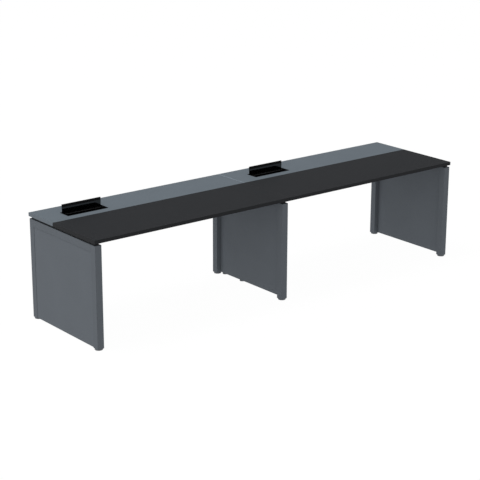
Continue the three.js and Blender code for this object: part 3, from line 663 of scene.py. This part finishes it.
# painted shade: the near-black colour of the plugs in the pin holes
PIN_HOLE_SHADE = (0.001, 0.001, 0.001)
SOCKET_BODY = 0.019
SOCKET_BODY_CORNER = 0.002
SOCKET_CORNER = 0.003
SOCKET_EASE = 0.0012
SOCKET_FACE_THICKNESS = 0.004
PLUG_WELL_RADIUS = 0.018
PLUG_WELL_DEPTH = 0.014
MOUTH_EASE = 0.0008
PIN_PITCH = 0.0095
PIN_OFFSET = 0.003
PIN_RADIUS = 0.0023
SLEEVE_RADIUS = 0.0031
SLEEVE_RISE = 0.0007
SLEEVE_ROOT = 0.001
SLEEVE_AROUND = 28
HOLE_RISE = 0.0001
socket_plastic = grained_finish("black_socket_plastic", SOCKET_PLASTIC, **SOCKET_MOULDING)
pin_hole_shade_paint = grained_finish("pin_hole_shadow", PIN_HOLE_SHADE, 0.70, grain=0.0010, lift=0.00002)
for bay in ("left", "right"):
    for letter in ("a", "b"):
        node = f"{bay}_power_socket_{letter}"
        low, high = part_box(node)
        middle, half = (low + high) / 2, (high.x - low.x) / 2
        floor_z = high.z - PLUG_WELL_DEPTH
        plate_z = high.z - SOCKET_FACE_THICKNESS
        rows = [
            square_row(middle, SOCKET_BODY, SOCKET_BODY_CORNER, low.z),
            square_row(middle, SOCKET_BODY, SOCKET_BODY_CORNER, plate_z),
            square_row(middle, half, SOCKET_CORNER, plate_z),
        ]
        for inset, rise in quarter_turn()[::-1] * SOCKET_EASE:
            rows.append(square_row(middle, half - inset, SOCKET_CORNER - inset, high.z - rise))
        for inset, rise in quarter_turn() * MOUTH_EASE:
            width = PLUG_WELL_RADIUS + MOUTH_EASE - inset
            rows.append(square_row(middle, width, width - NEAR_ROUND, high.z - rise))
        width = PLUG_WELL_RADIUS
        rows.append(square_row(middle, width, width - NEAR_ROUND, floor_z))
        socket = ring_mesh(f"{node}_moulding", rounded_rings(rows))
        fit_out(socket, socket_plastic, "socket_plastic", node)
        root, rim = floor_z - SLEEVE_ROOT, floor_z + SLEEVE_RISE
        tube = [(SLEEVE_RADIUS, root), (SLEEVE_RADIUS, rim), (PIN_RADIUS, rim), (PIN_RADIUS, root)]
        plug = [(PIN_RADIUS, root), (PIN_RADIUS, floor_z + HOLE_RISE)]
        for place in (-1, 0, 1):
            pin = (middle.x + place * PIN_PITCH, middle.y - (PIN_OFFSET if place == 0 else 0))
            name = f"{node}_pin_{place + 2}"
            rings = turned_rings(tube, pin, around=SLEEVE_AROUND)
            sleeve = ring_mesh(f"{name}_sleeve", rings, looped=True)
            fit_out(sleeve, socket_plastic, "socket_plastic", node)
            # painted shade: a near-black plug that fills the pin hole up to just above the floor of
            # the well
            hole = ring_mesh(f"{name}_hole", turned_rings(plug, pin, around=SLEEVE_AROUND))
            fit_out(hole, pin_hole_shade_paint, "socket_plastic", node)


# Data sockets: a pair of moulded jack modules side by side in one frame, each with a square mouth
# and a row of spring contacts on its floor.
BRASS = (0.55, 0.3900, 0.1600)
JACK_OFFSET = 0.0095
JACK_BODY_CORNER = 0.001
JACK_FACE_CORNER = 0.002
JACK_EASE = 0.0010
JACK_HALF = (0.0065, 0.0055)
JACK_CORNER = 0.0006
JACK_DEPTH = 0.014
MODULE_GAP = 0.0003
CONTACTS = 8
CONTACT_PITCH = 0.00127
CONTACT_WIDTH = 0.0005
CONTACT_REACH = 0.0042
CONTACT_TAIL = 0.0014
CONTACT_THICKNESS = 0.0004
CONTACT_LIFT = 0.0002
CONTACT_EASE = 0.00012
brass_contact = grained_finish("brass_contact", BRASS, 0.30, grain=0.0007, lift=0.00002)
brass_contact.node_tree.nodes["Principled BSDF"].inputs["Metallic"].default_value = 1.0
for bay in ("left", "right"):
    node = f"{bay}_data_socket"
    low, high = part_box(node)
    middle, half = (low + high) / 2, (high - low) / 2
    plate_z = high.z - SOCKET_FACE_THICKNESS
    floor_z = high.z - JACK_DEPTH
    for letter, side in (("a", -1), ("b", 1)):
        jack_x = middle.x + side * JACK_OFFSET
        body_x = middle.x + side * (SOCKET_BODY / 2)
        face_x, face_half = middle.x + side * (half.x / 2), half.x / 2 - MODULE_GAP
        block = [body_x, middle.y, SOCKET_BODY / 2, SOCKET_BODY, JACK_BODY_CORNER]
        mouth = [jack_x, middle.y, *JACK_HALF, JACK_CORNER]
        rows = [block + [low.z], block + [plate_z]]
        rows.append([face_x, middle.y, face_half, half.y, JACK_FACE_CORNER, plate_z])
        for inset, rise in quarter_turn()[::-1] * JACK_EASE:
            face = [face_x, middle.y, face_half - inset, half.y - inset]
            rows.append(face + [JACK_FACE_CORNER - inset, high.z - rise])
        rows += [mouth + [high.z], mouth + [floor_z]]
        jack = ring_mesh(f"{node}_jack_{letter}", rounded_rings(rows))
        fit_out(jack, socket_plastic, "socket_plastic", node)
        y0, y1 = middle.y - CONTACT_REACH, middle.y + CONTACT_TAIL
        z0 = floor_z + CONTACT_LIFT
        z1 = z0 + CONTACT_THICKNESS
        for contact in range(CONTACTS):
            contact_x = jack_x + (contact - (CONTACTS - 1) / 2) * CONTACT_PITCH
            x0, x1 = contact_x - CONTACT_WIDTH / 2, contact_x + CONTACT_WIDTH / 2
            rings = eased_bar((x0, y0, z0), (x1, y1, z1), "Y", CONTACT_EASE, CONTACT_EASE)
            spring = ring_mesh(f"{node}_jack_{letter}_contact_{contact + 1}", rings)
            fit_out(spring, brass_contact, "zinc_steel", node)


# Cable trays: steel sheet of 2 mm folded into a trough with a flange along each side, painted
# black and screwed under the rear top.
SHEET = 0.002
FOLD_RADIUS = 0.004
TRAY_FLANGE = 0.015


def folded_sheet(corners, thickness, radius, steps=5):
    """The outline of a bent sheet: its middle line runs along the corners with a round of the given
    radius at each fold, and the outline lies half the thickness to each side of it."""
    corners = np.asarray(corners, float)
    before, corner, after = corners[:-2], corners[1:-1], corners[2:]
    inward = (before - corner) / np.linalg.norm(before - corner, axis=1)[:, None]
    onward = (after - corner) / np.linalg.norm(after - corner, axis=1)[:, None]
    half_angle = np.arccos(np.clip((inward * onward).sum(1), -1, 1)) / 2
    bisector = inward + onward
    bisector /= np.linalg.norm(bisector, axis=1)[:, None]
    centre = corner + bisector * (radius / np.sin(half_angle))[:, None]
    start = corner + inward * (radius / np.tan(half_angle))[:, None] - centre
    end = corner + onward * (radius / np.tan(half_angle))[:, None] - centre
    share = np.linspace(0, 1, steps)[None, :, None]
    chord = start[:, None] * (1 - share) + end[:, None] * share
    arc = centre[:, None] + chord / np.linalg.norm(chord, axis=-1, keepdims=True) * radius
    line = np.concatenate([corners[:1], arc.reshape(-1, 2), corners[-1:]])
    run = np.gradient(line, axis=0)
    run /= np.linalg.norm(run, axis=1)[:, None]
    side = np.stack([run[:, 1], -run[:, 0]], axis=-1) * thickness / 2
    return np.concatenate([line + side, (line - side)[::-1]])


def carried(outline, low, high):
    """An outline carried straight from one height to another."""
    rings = np.broadcast_to(outline, (2, *outline.shape))
    height = np.broadcast_to(np.array([low, high])[:, None, None], (2, len(outline), 1))
    return np.concatenate([rings, height], axis=-1)


for bay in ("left", "right"):
    node = f"{bay}_cable_tray"
    low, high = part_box(node)
    wall = TRAY_FLANGE + SHEET / 2
    front_y, rear_y = low.y + wall, high.y - wall
    floor_z, flange_z = low.z + SHEET / 2, high.z - SHEET / 2
    corners = [(low.y, flange_z), (front_y, flange_z), (front_y, floor_z)]
    corners += [(rear_y, floor_z), (rear_y, flange_z), (high.y, flange_z)]
    outline = folded_sheet(corners, SHEET, FOLD_RADIUS)
    tray = ring_mesh(f"{node}_trough", laid_along(carried(outline, low.x, high.x), "X"))
    fit_out(tray, black_paint, "black_steel", node)


# Screws: zinc-plated button heads with a six-sided socket, driven up through the flanges of the
# trays and the tabs of the wells into the board.
SCREW_HEAD = 0.0045
SCREW_DROP = 0.0024
SCREW_FLAT = 0.5
SCREW_KEY = 0.0015
SCREW_KEY_DEPTH = 0.0013
CROWN_POINTS = 7
TRAY_SCREW_INSET = 0.070
TRAY_SCREW_EDGE = 0.0075


def button_head(centre, seat_z, around=48):
    """The head of a screw under a face: from the floor of the key's socket down its six sides, out
    over the flat of the crown and along a quarter of an ellipse up to the seat. A side of the
    socket is its half width over the cosine of the angle from the side's middle."""
    angle = np.arange(around) * 2 * math.pi / around
    sixth = math.pi / 3
    key = SCREW_KEY / np.cos((angle + sixth / 2) % sixth - sixth / 2)
    crown = np.linspace(0, math.pi / 2, CROWN_POINTS)
    width = SCREW_HEAD * (SCREW_FLAT + (1 - SCREW_FLAT) * np.sin(crown))
    radius = np.concatenate([[key, key], width[:, None] * np.ones(around)])
    socket_drop = [SCREW_DROP - SCREW_KEY_DEPTH, SCREW_DROP]
    drop = np.concatenate([socket_drop, SCREW_DROP * np.cos(crown)])[:, None]
    x = centre[0] + radius * np.cos(angle)
    y = centre[1] + radius * np.sin(angle)
    return np.stack([x, y, seat_z - drop + 0 * x], axis=-1)


for bay in ("left", "right"):
    places = []
    low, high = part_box(f"{bay}_cable_tray")
    for x in (low.x + TRAY_SCREW_INSET, (low.x + high.x) / 2, high.x - TRAY_SCREW_INSET):
        for y in (low.y + TRAY_SCREW_EDGE, high.y - TRAY_SCREW_EDGE):
            places.append((x, y, high.z - SHEET))
    low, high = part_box(f"{bay}_socket_well")
    for x in (low.x + WELL_TAB / 2, high.x - WELL_TAB / 2):
        places.append((x, (low.y + high.y) / 2, high.z - WELL_WALL))
    for number, (x, y, z) in enumerate(places, 1):
        screw = ring_mesh(f"{bay}_board_screw_{number}", button_head((x, y), z))
        fit_out(screw, zinc_plate, "zinc_steel")


# Cable riser: a trough of 2 mm steel in the grey of the frames, fixed to the back of the middle
# panel, with a thicker base plate for its feet and a cover whose two lips clip inside the trough.
RISER_FOLD = 0.003
RISER_BASE = 0.004
BASE_CORNER = 0.003
BASE_EASE = 0.0005
COVER_CORNER = 0.0009
COVER_EASE = 0.0006
COVER_FIT = 0.0003
LIP_CORNER = 0.0008
LIP_EASE = 0.0004
low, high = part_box("riser_body")
back_x = low.x + SHEET / 2
front_y, rear_y = low.y + SHEET / 2, high.y - SHEET / 2
corners = [(high.x, rear_y), (back_x, rear_y), (back_x, front_y), (high.x, front_y)]
outline = folded_sheet(corners, SHEET, RISER_FOLD)
trough = ring_mesh("riser_body_trough", carried(outline, low.z + RISER_BASE, high.z))
fit_out(trough, frame_paint, "grey_steel", "riser_body")
base_high = (high.x, high.y, low.z + RISER_BASE)
base = ring_mesh("riser_body_base", eased_bar(low, base_high, "Z", BASE_CORNER, BASE_EASE))
fit_out(base, frame_paint, "grey_steel", "riser_body")

cover_low, cover_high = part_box("riser_cover")
sheet_low = (cover_high.x - SHEET, cover_low.y, cover_low.z)
rings = eased_bar(sheet_low, cover_high, "Z", COVER_CORNER, COVER_EASE)
fit_out(ring_mesh("riser_cover_sheet", rings), frame_paint, "grey_steel", "riser_cover")
lips = {"front": front_y + SHEET + COVER_FIT, "rear": rear_y - SHEET - COVER_FIT}
for line, lip_y in lips.items():
    lip_low = (cover_low.x, lip_y - SHEET / 2, low.z + RISER_BASE + COVER_FIT)
    lip_high = (cover_high.x - SHEET / 2, lip_y + SHEET / 2, cover_high.z)
    rings = eased_bar(lip_low, lip_high, "Z", LIP_CORNER, LIP_EASE)
    lip = ring_mesh(f"riser_cover_{line}_lip", rings)
    fit_out(lip, frame_paint, "grey_steel", "riser_cover")


# Floor and studio: a white sweep that shows as plain white, with a faint shadow under the desk. It
# sends light up evenly, as a white room does, a large soft box hangs above and a small one stands
# low on the left.
FLOOR_HALF = 40.0
FLOOR_GREY = 0.3
FLOOR_GLOW = 0.88
FLOOR_WHITE = 0.992
FLOOR_WHITE_SHARE = 0.90
SKY_LEVEL = 0.43
SKY_WHITE = 1.0
KEY_PLACE, KEY_AIM = (-8.8, 4.0, 25.6), (0, 0, 0.5)
KEY_SIZE, KEY_POWER = 9.6, 3150.0
FILL_PLACE, FILL_AIM = (-11.2, -3.0, 3.0), (0, 0, 0.4)
FILL_SIZE, FILL_POWER = 5.0, 144.0


def seen_directly(nodes, links):
    """A value that is 1 for what the camera or a polished face sees, and 0 for what only lights."""
    path = nodes.new("ShaderNodeLightPath")
    seen = nodes.new("ShaderNodeMath")
    seen.operation = "MAXIMUM"
    links.new(path.outputs["Is Camera Ray"], seen.inputs[0])
    links.new(path.outputs["Is Glossy Ray"], seen.inputs[1])
    return seen.outputs[0]


def soft_light(name, place, aim, size, power):
    """A square soft box that faces a point."""
    lamp = bpy.data.lights.new(name, "AREA")
    lamp.shape = "SQUARE"
    lamp.size = size
    lamp.energy = power
    holder = bpy.data.objects.new(name, lamp)
    bpy.context.scene.collection.objects.link(holder)
    back = np.array(place, float) - np.array(aim, float)
    side = np.cross((0, 0, 1), back)
    side /= np.linalg.norm(side)
    back /= np.linalg.norm(back)
    turn = np.stack([side, np.cross(back, side), back], axis=1)
    holder.matrix_world = Matrix.Translation(place) @ Matrix(turn.tolist()).to_4x4()


floor_mesh = bpy.data.meshes.new("studio_floor")
corner = np.array([[-1, -1, 0], [1, -1, 0], [1, 1, 0], [-1, 1, 0]]) * FLOOR_HALF
floor_mesh.from_pydata(corner.tolist(), [], [[0, 1, 2, 3]])
floor = bpy.data.objects.new("studio_floor", floor_mesh)
bpy.context.scene.collection.objects.link(floor)

floor_white = bpy.data.materials.new("studio_white")
floor_white.use_nodes = True
nodes, links = floor_white.node_tree.nodes, floor_white.node_tree.links
nodes.clear()
matt = nodes.new("ShaderNodeBsdfDiffuse")
matt.inputs["Color"].default_value = (FLOOR_GREY, FLOOR_GREY, FLOOR_GREY, 1)
sheen = nodes.new("ShaderNodeEmission")
sheen.inputs["Strength"].default_value = FLOOR_GLOW
lit = nodes.new("ShaderNodeAddShader")
links.new(matt.outputs[0], lit.inputs[0])
links.new(sheen.outputs[0], lit.inputs[1])
glow = nodes.new("ShaderNodeEmission")
glow.inputs["Strength"].default_value = FLOOR_WHITE
plain = nodes.new("ShaderNodeMixShader")
plain.inputs["Fac"].default_value = FLOOR_WHITE_SHARE
links.new(lit.outputs[0], plain.inputs[1])
links.new(glow.outputs[0], plain.inputs[2])
mixed = nodes.new("ShaderNodeMixShader")
links.new(seen_directly(nodes, links), mixed.inputs["Fac"])
links.new(sheen.outputs[0], mixed.inputs[1])
links.new(plain.outputs[0], mixed.inputs[2])
out = nodes.new("ShaderNodeOutputMaterial")
links.new(mixed.outputs[0], out.inputs["Surface"])
floor_mesh.materials.append(floor_white)

world = bpy.data.worlds.new("studio")
bpy.context.scene.world = world
world.use_nodes = True
nodes, links = world.node_tree.nodes, world.node_tree.links
sky = nodes["Background"]
level = nodes.new("ShaderNodeMapRange")
level.inputs["To Min"].default_value = SKY_LEVEL
level.inputs["To Max"].default_value = SKY_WHITE
links.new(seen_directly(nodes, links), level.inputs["Value"])
links.new(level.outputs["Result"], sky.inputs["Strength"])
sky.inputs["Color"].default_value = (1, 1, 1, 1)

soft_light("key_left", KEY_PLACE, KEY_AIM, KEY_SIZE, KEY_POWER)
soft_light("fill_left", FILL_PLACE, FILL_AIM, FILL_SIZE, FILL_POWER)


# Camera: at the front left of the desk, a little above it, with a long lens.
CAMERA_PLACE = (-6.36455, -7.78844, 3.50987)
CAMERA_YAW, CAMERA_PITCH, CAMERA_ROLL = 38.7443, 17.4974, 0.1643
CAMERA_LENS, CAMERA_SENSOR = 110.130, 36.0
CAMERA_FAR = 200
lens = bpy.data.cameras.new("photo_camera")
lens.lens, lens.sensor_width = CAMERA_LENS, CAMERA_SENSOR
lens.clip_end = CAMERA_FAR
camera = bpy.data.objects.new("photo_camera", lens)
bpy.context.scene.collection.objects.link(camera)
turn = Matrix.Rotation(math.radians(-CAMERA_YAW), 4, "Z")
turn = turn @ Matrix.Rotation(math.radians(90 - CAMERA_PITCH), 4, "X")
turn = turn @ Matrix.Rotation(math.radians(CAMERA_ROLL), 4, "Z")
camera.matrix_world = Matrix.Translation(CAMERA_PLACE) @ turn
bpy.context.scene.camera = camera
bpy.context.scene.view_settings.view_transform = "Standard"
